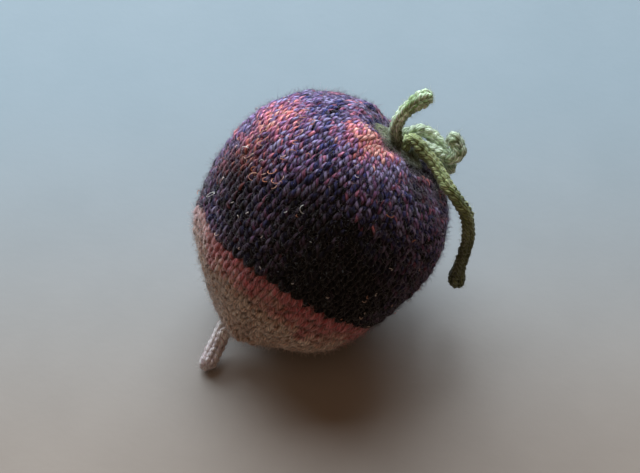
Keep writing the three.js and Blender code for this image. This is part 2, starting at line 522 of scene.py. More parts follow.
@dataclass(frozen=True)
class PlainYarn(YarnFinish):
    """Yarn of one colour, a little uneven from its dye."""

    light: tuple[float, ...] = srgb(226, 230, 184)
    dark: tuple[float, ...] = srgb(134, 142, 84)
    # The colour that the colour patches darken to: painted shade.
    deep: tuple[float, ...] = srgb(34, 32, 20)
    strand_waves: float = 160.0
    patch_waves: float = 130.0

    def colour(self, graph: Graph, at: YarnCoordinates) -> Wire:
        """Go between the light and the dark tone along the strand, then darken towards the deep
        colour in the colour patches as painted shade.

        Args:
            graph: The material that is being made.
            at: Where the point lies on its strand.

        Returns:
            The colour.
        """
        run = graph.vector(at.along * self.strand_waves, at.strand * 3.7, at.ply * 3.0)
        patches = graph.noise(at.place, self.patch_waves, 2.0)
        mottle = graph.noise(run, 1.0, 3.0) * 0.6 + patches * 0.4
        colour = graph.mix(graph.between(mottle, 0.36, 0.62), self.dark, self.light)
        # Painted shade: darkened towards the deep colour in the colour patches.
        for patch in self.colour_patches:
            colour = graph.mix(patch.reach(graph, at.place), colour, self.deep)
        return colour


@dataclass(frozen=True)
class FilamentFinish:
    """Thin shiny filament, some of it silver and some of it copper."""

    name: str
    silver: tuple[float, ...] = srgb(255, 252, 248)
    copper: tuple[float, ...] = srgb(232, 142, 98)

    def material(self) -> bpy.types.Material:
        """Make the material.

        Returns:
            The material.
        """
        graph = Graph(self.name)
        laid = graph.node("Attribute", {"attribute_name": "strand"}, out="Vector")
        colour = graph.mix(graph.parts(laid)[2], self.silver, self.copper)
        shader = graph.node("BsdfPrincipled", inputs={
            "Base Color": colour, "Roughness": 0.3, "Metallic": 0.5,
        })
        return graph.finish(shader)


@dataclass(frozen=True)
class SpottedFibreFinish:
    """Fibre with dark and less dark spots: behind the loops and inside the cords it is a dark skin
    of painted shade, standing for the shade in the depth of the knitting; as the filling it is the
    loose fibre's own white.
    """

    name: str
    dark: tuple[float, ...]
    light: tuple[float, ...]
    spot_waves: float = 900.0

    def material(self) -> bpy.types.Material:
        """Make the material.

        Returns:
            The material.
        """
        graph = Graph(self.name)
        place = graph.node("TexCoord", out="Object")
        spots = graph.noise(place, self.spot_waves, 4.0, 0.65)
        colour = graph.mix(graph.between(spots, 0.35, 0.65), self.dark, self.light)
        bump = graph.bump(0.8, spots)
        shader = graph.node("BsdfPrincipled", inputs={
            "Base Color": colour, "Roughness": 0.95, "Specular IOR Level": 0.1, "Normal": bump,
        })
        return graph.finish(shader)


# ---------------------------------------------------------------- strands


@dataclass(frozen=True)
class Section:
    """The round cross-section of a strand."""

    thickness: float
    sides: int = 6

    def outline(self) -> bpy.types.Object:
        """Draw the section.

        Returns:
            A closed curve that a strand's line is bevelled with.
        """
        curve = bpy.data.curves.new("section", "CURVE")
        curve.dimensions = "3D"
        spline = curve.splines.new("POLY")
        spline.points.add(self.sides - 1)
        spline.use_cyclic_u = True
        for index, point in enumerate(spline.points):
            angle = -math.tau * index / self.sides
            radius = self.thickness / 2
            point.co = (radius * math.cos(angle), radius * math.sin(angle), 0, 1)
        return bpy.data.objects.new("section", curve)


@dataclass
class Strand:
    """One length of yarn or one fibre, as the points that its middle runs through."""

    points: np.ndarray
    outward: np.ndarray
    rows: np.ndarray
    number: float
    closed: bool = True
    start: float = 0.0
    girth: np.ndarray | None = None
    depth: np.ndarray | None = None

    def distances(self) -> np.ndarray:
        """Return how far along the strand each point lies."""
        steps = np.linalg.norm(np.diff(self.points, axis=0), axis=1)
        return np.concatenate([[0.0], np.cumsum(steps)])

    def length(self) -> float:
        """Return the strand's whole length."""
        closing = np.linalg.norm(self.points[0] - self.points[-1]) if self.closed else 0.0
        return float(self.distances()[-1] + closing)


def spun(name: str, strands: list[Strand], section: Section) -> bpy.types.Object:
    """Make one piece of yarn from its strands.

    Args:
        name: The piece's name.
        strands: The strands, each a run of points.
        section: The yarn's cross-section.

    Returns:
        A mesh with the attributes that the yarn finishes read.
    """
    outline = section.outline()
    curve = bpy.data.curves.new(name, "CURVE")
    curve.dimensions = "3D"
    curve.bevel_mode = "OBJECT"
    curve.bevel_object = outline
    for strand in strands:
        spline = curve.splines.new("POLY")
        count = len(strand.points)
        spline.points.add(count - 1)
        spline.use_cyclic_u = strand.closed
        spline.points.foreach_set("co", np.hstack([strand.points, np.ones((count, 1))]).ravel())
        if strand.girth is not None:
            spline.points.foreach_set("radius", strand.girth)
    holder = bpy.data.objects.new(name + "_line", curve)
    bpy.context.scene.collection.objects.link(holder)
    graph = bpy.context.evaluated_depsgraph_get()
    mesh = bpy.data.meshes.new_from_object(holder.evaluated_get(graph))
    bpy.data.objects.remove(holder)
    bpy.data.objects.remove(outline)
    laid = np.vstack([
        np.tile([strand.start, strand.length(), strand.number], (len(strand.points), 1))
        for strand in strands
    ])
    depths = [
        np.zeros(len(strand.points)) if strand.depth is None else strand.depth
        for strand in strands
    ]
    for label, kind, key, values in (
        ("strand", "FLOAT_VECTOR", "vector", laid),
        ("row", "FLOAT", "value", np.concatenate([strand.rows for strand in strands])),
        ("depth", "FLOAT", "value", np.concatenate(depths)),
    ):
        layer = mesh.attributes.new(label, kind, "POINT")
        layer.data.foreach_set(key, np.repeat(values, section.sides, axis=0).ravel())
    if not all(strand.closed for strand in strands):
        close_ends(mesh)
    mesh.shade_smooth()
    mesh.name = name
    piece = bpy.data.objects.new(name, mesh)
    bpy.context.scene.collection.objects.link(piece)
    return piece


def close_ends(mesh: bpy.types.Mesh) -> None:
    """Close the open ends of strands.

    Args:
        mesh: The strands' mesh.
    """
    work = bmesh.new()
    work.from_mesh(mesh)
    bmesh.ops.holes_fill(work, edges=[edge for edge in work.edges if edge.is_boundary], sides=0)
    bmesh.ops.recalc_face_normals(work, faces=work.faces)
    work.to_mesh(mesh)
    work.free()


def press_flat(piece: bpy.types.Object, floor: float = 0.02 * MM) -> None:
    """Flatten what would reach through the table, as the toy's weight does.

    Args:
        piece: The piece.
        floor: The lowest height that is left.
    """
    mesh = piece.data
    places = np.empty(len(mesh.vertices) * 3)
    mesh.vertices.foreach_get("co", places)
    places = places.reshape(-1, 3)
    places[:, 2] = np.maximum(places[:, 2], floor)
    mesh.vertices.foreach_set("co", places.ravel())
    mesh.update()


# ---------------------------------------------------------------- surfaces to knit on


# Points of the fabric, and the directions straight out from the surface there.
Laid = tuple[np.ndarray, np.ndarray]


class Surface:
    """A round surface that rounds of knitting lie on."""

    def place(self, turn: np.ndarray, row: np.ndarray, out: np.ndarray) -> Laid:
        """Find points of the fabric.

        Args:
            turn: Place round the surface, where 1 is once round.
            row: Place across the rounds.
            out: Height above the surface.

        Returns:
            The points, and the directions straight out from the surface there.
        """
        raise NotImplementedError


@dataclass(frozen=True)
class Swell:
    """A broad place where the filling pushes the covers out, or where they draw in."""

    toward: tuple[float, float, float]
    height: float
    width_deg: float


SWELLS = (
    Swell((0.16, 0.78, 0.61), 1.2 * MM, 26.0),
    Swell((-0.97, -0.2, -0.16), -0.9 * MM, 17.0),
    Swell((1.0, 0.0, 0.0), -1.0 * MM, 20.0),
    Swell((-0.79, -0.48, -0.38), -0.9 * MM, 9.0),
    Swell((-0.5, -0.69, -0.54), 0.6 * MM, 10.0),
    Swell((-0.61, -0.63, -0.49), 2.2 * MM, 8.0),
    Swell((0.9, -0.34, -0.26), 0.6 * MM, 14.0),
)


@dataclass
class Ball(Surface):
    """The stuffed ball's skin, read from the frame's two covers."""

    turns: int = 192
    heights: int = 260
    rows_per_round: int = 8
    root_edge_deg: float = 4.6
    crown_edge_deg: float = 166.6
    gathers: int = 8
    gathered_rounds: int = 8
    gather_depth: float = 0.7 * MM
    clear_of_ball: float = 0.2
    places: np.ndarray = field(init=False)
    normals: np.ndarray = field(init=False)

    def __post_init__(self) -> None:
        """Work out the ball's own directions, then lay the rounds on its skin."""
        rise, turn = math.radians(CROWN_RAISE_DEG), math.radians(CROWN_TURN_DEG)
        level = Vector((math.cos(turn), math.sin(turn), 0.0))
        self.crown = level * math.cos(rise) + Vector((0.0, 0.0, math.sin(rise)))
        self.side = Vector((0, 0, 1)).cross(self.crown).normalized()
        self.up = self.crown.cross(self.side)
        self._lay_rounds(self._cast())

    def direction(self, angle: float) -> Vector:
        """Return the direction square to the crown line at an angle round it."""
        return math.cos(angle) * self.up + math.sin(angle) * self.side

    def _cast(self) -> np.ndarray:
        """Find the skin along lines from the root's edge to the crown's edge.

        Returns:
            Points, by place round the ball and place along the line.
        """
        points, faces = [], []
        for node in ("dark_cover", "pale_cover"):
            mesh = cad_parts[node].data
            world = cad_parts[node].matrix_world
            faces += [[len(points) + index for index in face.vertices] for face in mesh.polygons]
            points += [world @ vertex.co for vertex in mesh.vertices]
        tree = BVHTree.FromPolygons(points, faces)
        reach = np.empty((self.turns, self.heights))
        angles = np.radians(np.linspace(self.root_edge_deg, self.crown_edge_deg, self.heights))
        rays = []
        for i in range(self.turns):
            across = self.direction(math.tau * i / self.turns)
            line = [math.sin(a) * across - math.cos(a) * self.crown for a in angles]
            rays.append(line)
            for j, ray in enumerate(line):
                hit = tree.ray_cast(BALL_CENTRE + ray * self.clear_of_ball, -ray)[0]
                reach[i, j] = (hit - BALL_CENTRE).length
        # A ray may slip into the gap between the covers, so each is held to its neighbours.
        beside = np.stack([np.roll(reach, 2, 1), np.roll(reach, -2, 1)])
        reach[:, 2:-2] = np.maximum(reach, beside.min(0))[:, 2:-2]
        rays = np.array(rays)
        for swell in SWELLS:
            toward = np.array(swell.toward) / np.linalg.norm(swell.toward)
            away = np.degrees(np.arccos(np.clip(rays @ toward, -1, 1)))
            reach += swell.height * np.exp(-(away / swell.width_deg) ** 2)
        return np.array(BALL_CENTRE) + reach[..., None] * rays

    def _lay_rounds(self, skin: np.ndarray) -> None:
        """Share each line out in rounds, so that the colour change is the same round all the way.

        Args:
            skin: Points, by place round the ball and place along the line.
        """
        ring = BALL_CENTRE + self.crown * RING_HEIGHT
        tilt = self.direction(math.radians(RING_TURN_DEG)) * math.tan(math.radians(RING_TILT_DEG))
        over = (skin - np.array(ring)) @ np.array(self.crown - tilt)
        angles = np.arange(self.turns) / self.turns * 360
        over += RING_SAG
        for at, width, amount in RING_DIPS:
            over += amount * np.exp(-((angles - at) / width) ** 2)[:, None]
        steps = np.linalg.norm(np.diff(skin, axis=1), axis=2)
        along = np.concatenate([np.zeros((self.turns, 1)), np.cumsum(steps, 1)], 1)
        count = (PALE_ROUNDS + DARK_ROUNDS) * self.rows_per_round + 1
        self.row_grid = np.linspace(-PALE_ROUNDS, DARK_ROUNDS, count)
        self.places = np.empty((self.turns, count, 3))
        for i in range(self.turns):
            change = np.interp(0.0, over[i], along[i])
            knots = [0.0, change, along[i, -1]]
            wanted = np.interp(self.row_grid, [-PALE_ROUNDS, 0, DARK_ROUNDS], knots)
            for axis in range(3):
                self.places[i, :, axis] = np.interp(wanted, along[i], skin[i, :, axis])
        round_way = np.roll(self.places, -1, 0) - np.roll(self.places, 1, 0)
        crown_way = np.gradient(self.places, axis=1)
        normals = np.cross(round_way, crown_way)
        self.normals = normals / np.linalg.norm(normals, axis=2, keepdims=True)
        outward = (self.normals * (self.places - np.array(BALL_CENTRE))).sum(2, keepdims=True)
        self.normals *= np.sign(np.median(outward))

    def girth(self, row: float) -> float:
        """Measure the distance round the ball.

        Args:
            row: The round that it is measured at.

        Returns:
            The distance.
        """
        turn = np.linspace(0, 1, 96)
        ring = self.place(turn, np.full(96, row), np.zeros(96))[0]
        return float(np.linalg.norm(np.diff(ring, axis=0), axis=1).sum())

    def place(self, turn: np.ndarray, row: np.ndarray, out: np.ndarray) -> Laid:
        """Find points of the fabric.

        Args:
            turn: Place round the surface, where 1 is once round.
            row: Place across the rounds.
            out: Height above the surface.

        Returns:
            The points, and the directions straight out from the surface there.
        """
        across = np.mod(turn, 1.0) * self.turns
        down = (np.clip(row, -PALE_ROUNDS, DARK_ROUNDS) + PALE_ROUNDS) * self.rows_per_round
        i0 = np.floor(across).astype(int)
        j0 = np.minimum(np.floor(down).astype(int), len(self.row_grid) - 2)
        u, v = (across - i0)[:, None], (down - j0)[:, None]
        i0, i1 = i0 % self.turns, (i0 + 1) % self.turns

        def blended(grid: np.ndarray) -> np.ndarray:
            """Blend a grid's four values round each place.

            Args:
                grid: The values, by place round the ball and by round.

            Returns:
                A value for each place.
            """
            low = grid[i0, j0] * (1 - u) + grid[i1, j0] * u
            high = grid[i0, j0 + 1] * (1 - u) + grid[i1, j0 + 1] * u
            return low * (1 - v) + high * v

        normal = blended(self.normals)
        normal /= np.linalg.norm(normal, axis=1, keepdims=True)
        gathered = (row - DARK_ROUNDS + self.gathered_rounds) / (self.gathered_rounds - 2)
        folds = np.clip(gathered, 0, 1) * np.cos(self.gathers * math.tau * turn)
        out = out + self.gather_depth * folds
        return blended(self.places) + normal * out[:, None], normal


@dataclass
class Tube(Surface):
    """A knitted cord's skin along a route, closed over its free end."""

    route: list[tuple[float, float, float]]
    diameter: float
    row_height: float = 2.05 * MM
    swell: float = 1.28
    swell_reach: float = 3.2
    tip_overlap: float = 0.25
    tip_bend: float = 1.25
    samples: int = 400

    def __post_init__(self) -> None:
        """Run a smooth line through the route and carry a pair of directions along it."""
        knots = np.array(self.route) * MM + np.array(BALL_CENTRE)
        self.line = smooth_line(knots, self.samples)
        steps = np.linalg.norm(np.diff(self.line, axis=0), axis=1)
        self.along = np.concatenate([[0.0], np.cumsum(steps)])
        self.length = float(self.along[-1])
        self.ahead = np.gradient(self.line, axis=0)
        self.ahead /= np.linalg.norm(self.ahead, axis=1, keepdims=True)
        first = np.cross(self.ahead[0], [0.0, 0.0, 1.0])
        across = [first / np.linalg.norm(first)]
        for direction in self.ahead[1:]:
            carried = across[-1] - direction * (across[-1] @ direction)
            across.append(carried / np.linalg.norm(carried))
        self.across = np.array(across)
        self.tip = self.diameter / 2 * self.swell
        self.rounds = max(3, round((self.length - self.tip + self.tip * 1.2) / self.row_height))

    def radius(self, along: np.ndarray) -> np.ndarray:
        """Return the cord's radius at distances along it: even, then swelling to the tip."""
        from_tip = np.clip((self.length - along) / (self.swell_reach * self.diameter), 0, 1)
        return self.diameter / 2 * (1 + (self.swell - 1) * (1 - from_tip) ** 2)

    def place(self, turn: np.ndarray, row: np.ndarray, out: np.ndarray) -> Laid:
        """Find points of the fabric.

        Args:
            turn: Place round the surface, where 1 is once round.
            row: Place across the rounds.
            out: Height above the surface.

        Returns:
            The points, and the directions straight out from the surface there.
        """
        skin = row / self.rounds * (self.length + self.tip_overlap * self.tip)
        straight = self.length - self.tip
        bend = np.clip((skin - straight) / self.tip, 0, self.tip_bend)
        ahead_by = np.where(bend > 0, straight + self.tip * np.sin(bend), np.maximum(skin, 0))
        radius = self.radius(np.minimum(ahead_by, straight)) * np.cos(bend)
        here = np.clip(ahead_by, 0, self.length)
        middle, ahead, across = (
            np.stack([np.interp(here, self.along, carried[:, axis]) for axis in range(3)], 1)
            for carried in (self.line, self.ahead, self.across)
        )
        other = np.cross(ahead, across)
        angle = turn * math.tau
        spoke = np.cos(angle)[:, None] * across + np.sin(angle)[:, None] * other
        normal = spoke * np.cos(bend)[:, None] + ahead * np.sin(bend)[:, None]
        return middle + spoke * radius[:, None] + normal * out[:, None], normal


@dataclass
class Disc(Surface):
    """The round patch's top, read from the frame, with the rounds running out from its middle."""

    ball: Ball
    rounds: int = 4
    inner: float = 0.02
    outer: float = 0.985
    clear_of_patch: float = 0.02

    def __post_init__(self) -> None:
        """Find the patch's middle, its reach and its top."""
        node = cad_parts["crown_patch"]
        points = [node.matrix_world @ vertex.co for vertex in node.data.vertices]
        faces = [list(face.vertices) for face in node.data.polygons]
        self.tree = BVHTree.FromPolygons(points, faces)
        crown = np.array(self.ball.crown)
        places = np.array(points)
        self.middle = places.mean(0)
        flat = places - self.middle
        flat = flat - (flat @ crown)[:, None] * crown
        self.reach = float(np.linalg.norm(flat, axis=1).max())

    def place(self, turn: np.ndarray, row: np.ndarray, out: np.ndarray) -> Laid:
        """Find points of the fabric.

        Args:
            turn: Place round the surface, where 1 is once round.
            row: Place across the rounds.
            out: Height above the surface.

        Returns:
            The points, and the directions straight out from the surface there.
        """
        crown = self.ball.crown
        radius = np.clip(row / self.rounds, self.inner, self.outer) * self.reach
        points, normals = [], []
        for share, length, lift in zip(turn, radius, out):
            under = Vector(self.middle) + self.ball.direction(share * math.tau) * length
            hit = self.tree.ray_cast(under + crown * self.clear_of_patch, -crown)[0] or under
            points.append(hit + crown * lift)
            normals.append(crown)
        return np.array(points), np.array(normals)


def smooth_line(knots: np.ndarray, samples: int) -> np.ndarray:
    """Run a smooth curve through points.

    Args:
        knots: The points.
        samples: How many points the result has.

    Returns:
        Points of the curve, evenly spaced.
    """
    ends = np.vstack([2 * knots[0] - knots[1], knots, 2 * knots[-1] - knots[-2]])
    pieces = []
    for p0, p1, p2, p3 in zip(ends, ends[1:], ends[2:], ends[3:]):
        t = np.linspace(0, 1, 40, endpoint=False)[:, None]
        pieces.append(0.5 * (2 * p1 + (p2 - p0) * t + (2 * p0 - 5 * p1 + 4 * p2 - p3) * t ** 2
                             + (3 * p1 - p0 - 3 * p2 + p3) * t ** 3))
    fine = np.vstack([*pieces, knots[-1:]])
    along = np.concatenate([[0.0], np.cumsum(np.linalg.norm(np.diff(fine, axis=0), axis=1))])
    wanted = np.linspace(0, along[-1], samples)
    return np.stack([np.interp(wanted, along, fine[:, axis]) for axis in range(3)], 1)


# ---------------------------------------------------------------- knitting


@dataclass(frozen=True)
class Gauge:
    """How one stitch lies in the fabric; reach and lean are shares of a round and a stitch."""

    section: Section
    reach: float = 0.8
    lean: float = 0.19
    relief: float = 0.55 * MM
    steps: int = 16
    wobble: float = 0.16 * MM
    uneven_lean: float = 0.2
    uneven_reach: float = 0.05
    uneven_girth: float = 0.12


@dataclass
class Knitting:
    """Rounds of knitting on a surface."""

    surface: Surface
    gauge: Gauge
    rng: np.random.Generator
    sections: int = 8
    sink: float = 0.0

    def feet(self, count: int, below: int) -> tuple[np.ndarray, np.ndarray]:
        """Say which stitch below each stitch comes out of.

        Args:
            count: Stitches in this round.
            below: Stitches in the round below.

        Returns:
            The stitches' own middles, and the places of their feet in the round below.
        """
        own, feet = [], []
        mine, theirs = count // self.sections, below // self.sections
        joined = int(self.rng.integers(0, max(1, min(mine, theirs))))
        for section in range(-1, self.sections + 1):
            for k in range(mine):
                shift = 0.5
                if mine != theirs and k >= joined:
                    step = 1.0 if theirs > mine else -1.0
                    shift += step * (0.5 if k == joined else 1.0)
                own.append(section * mine + k + 0.5)
                feet.append(section * theirs + k + shift)
        return np.array(own), np.array(feet)

    def round(self, row: float, count: int, below: int, number: float) -> Strand:
        """Lay one round.

        Args:
            row: The round's number, at the foot of its stitches.
            count: Stitches in this round.
            below: Stitches in the round below.
            number: The strand's number.

        Returns:
            The round as a closed strand.
        """
        gauge, steps = self.gauge, self.gauge.steps
        t = np.tile(np.arange(steps) / steps * math.tau, count)
        stitch = np.repeat(np.arange(count), steps)
        uneven = self.rng.normal(0, 1, (3, count))
        lean = gauge.lean * (1 + gauge.uneven_lean * uneven[0][stitch])
        own = stitch + t / math.tau + lean * np.sin(2 * t)
        centres, feet = self.feet(count, below)
        foot_turn = np.interp(own, centres, feet) / below
        head_share = (1 - np.cos(t)) / 2
        turn = foot_turn * (1 - head_share) + own / count * head_share
        reach = gauge.reach * (1 + gauge.uneven_reach * uneven[1][stitch] * head_share)
        rows = row + 0.5 - reach * np.cos(t)
        hidden = (1 + np.cos(2 * t)) / 2
        out = -gauge.section.thickness / 2 - gauge.relief * 2 * hidden - self.sink
        out += gauge.wobble * uneven[2][stitch] * (1 - hidden)
        points, outward = self.surface.place(turn, rows, out)
        plump = self.rng.normal(0, 1, count)[stitch]
        girth = 1 + gauge.uneven_girth * plump * (1 - hidden)
        return Strand(points, outward, rows, number, girth=girth, depth=hidden)


@dataclass
class Fuzz:
    """Loose fibres that stand off the yarn."""

    rng: np.random.Generator
    thickness: float = 0.075 * MM
    shortest: float = 0.5 * MM
    longest: float = 2.0 * MM
    outward: tuple[float, float] = (0.3, 1.3)
    scatter: float = 0.6
    bow: float = 0.7
    rooted: float = 0.42
    taper: tuple[float, float, float] = (1.0, 0.9, 0.4)

    def fibres(self, strands: list[Strand], count: int, yarn: float) -> list[Strand]:
        """Grow fibres from strands.

        Args:
            strands: The yarn that they stand on.
            count: How many there are.
            yarn: The yarn's thickness.

        Returns:
            The fibres.
        """
        weights = np.array([len(strand.points) for strand in strands], float)
        chosen = self.rng.choice(len(strands), count, p=weights / weights.sum())
        distances = [strand.distances() for strand in strands]
        t = np.array([[0.0], [0.5], [1.0]])
        made = []
        for index in chosen:
            strand = strands[index]
            at = int(self.rng.integers(len(strand.points)))
            outward = strand.outward[at] * self.rng.uniform(*self.outward)
            lean = outward + self.rng.normal(0, self.scatter, 3)
            lean /= np.linalg.norm(lean)
            bend = np.cross(lean, self.rng.normal(0, 1, 3))
            length = self.rng.uniform(self.shortest, self.longest)
            root = strand.points[at] + lean * yarn * self.rooted
            points = root + lean * length * t + bend * self.bow * length * t ** 2
            made.append(Strand(
                points, np.tile(lean, (3, 1)), np.full(3, strand.rows[at]), strand.number,
                closed=False, start=float(distances[index][at]), girth=np.array(self.taper),
            ))
        return made


@dataclass(frozen=True)
class Curl:
    """A curl of shiny filament that has sprung out of the yarn."""

    turn: float
    row: float
    radius: float
    start_deg: float
    sweep_deg: float
    squash: float = 0.7
    copper: float = 0.0


# The curls that stand out the most.
CURLS = (
    Curl(0.938, 8.1, 1.3 * MM, 100.0, 160.0, 1.0),
    Curl(0.062, 2.2, 1.7 * MM, 20.0, 330.0, 0.3),
    Curl(0.062, 7.4, 1.4 * MM, 60.0, 70.0),
    Curl(0.052, 9.6, 1.3 * MM, 200.0, 200.0, copper=1.0),
    Curl(0.036, 10.4, 1.7 * MM, -70.0, 130.0, 1.0, copper=0.6),
    Curl(0.008, 10.4, 1.8 * MM, 190.0, 90.0, copper=1.0),
    Curl(0.844, 12.8, 1.4 * MM, 190.0, 140.0, copper=1.0),
    Curl(0.060, 4.0, 1.2 * MM, 230.0, 170.0, copper=0.4),
)


@dataclass
class Filament:
    """The shiny filament spun in with the marled yarn."""

    surface: Surface
    rng: np.random.Generator
    thickness: float = 0.19 * MM
    lift: float = 0.5 * MM
    arch: float = 0.5
    points: int = 12
    scattered: int = 90
    tangled: int = 30

    def bent(self, curl: Curl) -> Strand:
        """Bend one curl over the fabric.

        Args:
            curl: The curl.

        Returns:
            The curl as an open strand, whose number says how coppery it is.
        """
        place = (np.array([curl.turn]), np.array([curl.row]), np.zeros(1))
        (middle,), (normal,) = self.surface.place(*place)
        across = np.array([1.0, 0.0, 0.0]) - normal * normal[0]
        across /= np.linalg.norm(across)
        up = np.cross(normal, across)
        swept = curl.start_deg + np.linspace(0, curl.sweep_deg, self.points)
        angles = np.radians(swept)[:, None]
        ring = curl.radius * (np.cos(angles) * across + curl.squash * np.sin(angles) * up)
        rise = np.sin(np.linspace(0, math.pi, self.points))[:, None]
        points = middle + ring + normal * (rise * curl.radius * self.arch + self.lift)
        outward = np.tile(normal, (self.points, 1))
        return Strand(points, outward, np.zeros(self.points), curl.copper, closed=False)

    def strands(self, last: int) -> list[Strand]:
        """Bend all the curls: those that stand out, small ones all over and a tangle on the left.

        Args:
            last: The last round that has them.

        Returns:
            The curls.
        """
        small = [
            Curl(self.rng.uniform(), self.rng.uniform(0.5, last), self.rng.uniform(0.3, 0.9) * MM,
                 self.rng.uniform(0, 360), self.rng.uniform(60, 200), copper=self.rng.uniform())
            for _ in range(self.scattered)
        ]
        tangled = [
            Curl(self.rng.uniform(-0.02, 0.075), self.rng.uniform(7.0, 14.0),
                 self.rng.uniform(0.7, 1.6) * MM, self.rng.uniform(0, 360),
                 self.rng.uniform(80, 240), copper=self.rng.uniform(0.5, 1.0))
            for _ in range(self.tangled)
        ]
        return [self.bent(curl) for curl in (*CURLS, *small, *tangled)]


# ---------------------------------------------------------------- the toy's yarns

# Where the marled yarn runs to salmon, a dye that is also painted sheen where the top catches
# light; a shift below 0 runs it to navy, which is painted shade at the front and dye at the back.
DYE_SHEEN_AND_SHADE_PATCHES = (
    colour_patch(13, 3, 70, 14, 0.42), colour_patch(-21, 2, 66, 14, 0.18), colour_patch(-13, 14, 69, 14, 0.28),
    colour_patch(0, -33, 44, 50, -0.3), colour_patch(4, 36, 26, 48, -0.26),
)
# Where it is darkened towards near black: painted shade, which is also read in part as near-black
# dye.
SHADE_AND_DARK_DYE_PATCHES = (
    colour_patch(0, -33, 44, 53, 0.97), colour_patch(-24, -22, 36, 30, 0.8), colour_patch(22, -26, 34, 30, 0.75),
    colour_patch(-6, -24, 64, 27, 0.88), colour_patch(29, 8, 53, 22, 0.9), colour_patch(-28, -8, 59, 30, 0.88),
    colour_patch(28, 3, 60, 10, 0.95), colour_patch(27, -7, 60, 9, 0.8), colour_patch(6, 36, 30, 46, 0.65),
)
# Where that darkening is eased on the lit left side: painted light.
LIT_SIDE_PATCHES = (colour_patch(-34, -7, 50, 15, 0.42),)
# Where the pink is lightened on its lit left side: painted light.
LIT_PINK_PATCHES = (colour_patch(-38, -4, 44, 19, 0.85),)
# Where the green yarns are darkened: painted shade at the stems' feet, on the patch's rim and along
# the trailing stem.
STEM_FEET_SHADE = (colour_patch(20, 9, 57, 16, 0.92),)
PATCH_RIM_SHADE = (colour_patch(21, 3, 62, 13, 0.9),)
TRAILING_STEM_SHADE = (colour_patch(41, -5, 30, 32, 0.78),)

MARLED = MarledYarn(
    "marled yarn", "marled_yarn", plies=4, ply_length=5.5 * MM, depth_shade=0.88, brightness=1.58,
    see_through=0.15, sheen=0.2, colour_patches=DYE_SHEEN_AND_SHADE_PATCHES, shade_and_dark_dye_patches=SHADE_AND_DARK_DYE_PATCHES, lit_side_patches=LIT_SIDE_PATCHES)
FADING = FadingYarn(
    "pink and cream yarn", "pink_and_cream_yarn", groove_shade=0.3, depth_shade=0.7,
    colour_patches=LIT_PINK_PATCHES)
GREEN = PlainYarn(
    "green yarn", "green_yarn", ply_length=5.0 * MM, groove_shade=0.5, depth_shade=0.8,
    brightness=1.2, colour_patches=STEM_FEET_SHADE)
# The stems and the patch use one green yarn; its copies are lighter where a stem is lit and darker
# where it lies in shade: painted light and painted shade.
LIT_GREEN = replace(
    GREEN, name="green yarn in light", brightness=1.95,
    light=srgb(220, 236, 208), dark=srgb(112, 132, 94))
BRIGHTLY_LIT_GREEN = replace(
    LIT_GREEN, name="green yarn in bright light", brightness=2.25,
    light=srgb(224, 250, 210), dark=srgb(118, 150, 92))
SHADED_GREEN = replace(
    GREEN, name="green yarn in shade", brightness=1.45, see_through=0.1, groove_shade=0.65,
    depth_shade=0.95, light=srgb(214, 226, 166), dark=srgb(116, 132, 78), deep=srgb(34, 38, 24),
    colour_patches=TRAILING_STEM_SHADE)
# The patch's copy is darker where the patch lies in shade: painted shade.
SHADED_PATCH_GREEN = replace(GREEN, name="patch yarn in shade", brightness=0.48, colour_patches=PATCH_RIM_SHADE)
PALE_ROOT = PlainYarn(
    "root yarn", "root_yarn", ply_length=5.0 * MM, groove_shade=0.3, depth_shade=0.45,
    brightness=1.6, light=srgb(250, 244, 246), dark=srgb(206, 186, 190))
# Dark skins behind the covers' loops and cores inside the cords stand for the shade in the depth of
# the knitting: painted shade, lighter for the lit upright stem and the pale root. The filling keeps
# its own white.
DARK_SHADE_SKIN = SpottedFibreFinish("painted shade skin, dark", srgb(12, 9, 16), srgb(34, 26, 44))
PALE_SHADE_SKIN = SpottedFibreFinish("painted shade skin, pale", srgb(52, 32, 24), srgb(104, 74, 58))
GREEN_SHADE_CORE = SpottedFibreFinish("painted shade core, green", srgb(44, 48, 28), srgb(78, 84, 52))
BRIGHTLY_LIT_GREEN_SHADE_CORE = SpottedFibreFinish("painted shade core, lit green", srgb(96, 104, 68), srgb(138, 148, 100))
ROOT_SHADE_CORE = SpottedFibreFinish("painted shade core, root", srgb(150, 128, 130), srgb(204, 186, 188))
FILLING = SpottedFibreFinish("loose white fibre", srgb(206, 204, 198), srgb(242, 240, 236))


def loose(yarn: YarnFinish, name: str, brightness: float, sheen: float = 0.8) -> YarnFinish:
    """Return the finish of the loose fibres of a yarn, which have no grooves."""
    return replace(yarn, name=name, groove_shade=0.0, brightness=brightness, sheen=sheen)


# ---------------------------------------------------------------- the toy's parts


def dress(piece: bpy.types.Object, material: bpy.types.Material, node: str) -> None:
    """Give a piece its finish and its place in the model.

    Args:
        piece: The piece.
        material: Its material.
        node: The plain solid that it stands for.
    """
    piece.data.materials.clear()
    piece.data.materials.append(material)
    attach(piece, BODY)
    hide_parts(node)
    log.info("%s: %d faces", piece.name, len(piece.data.polygons))


class Part(Enum):
    """The ball's two covers: name, first and last round, yarn, the painted shade skin behind it and
    loose fibres.
    """

    PALE = ("pale", -PALE_ROUNDS, 0, FADING, PALE_SHADE_SKIN, 12000)
    DARK = ("dark", 0, DARK_ROUNDS, MARLED, DARK_SHADE_SKIN, 28000)


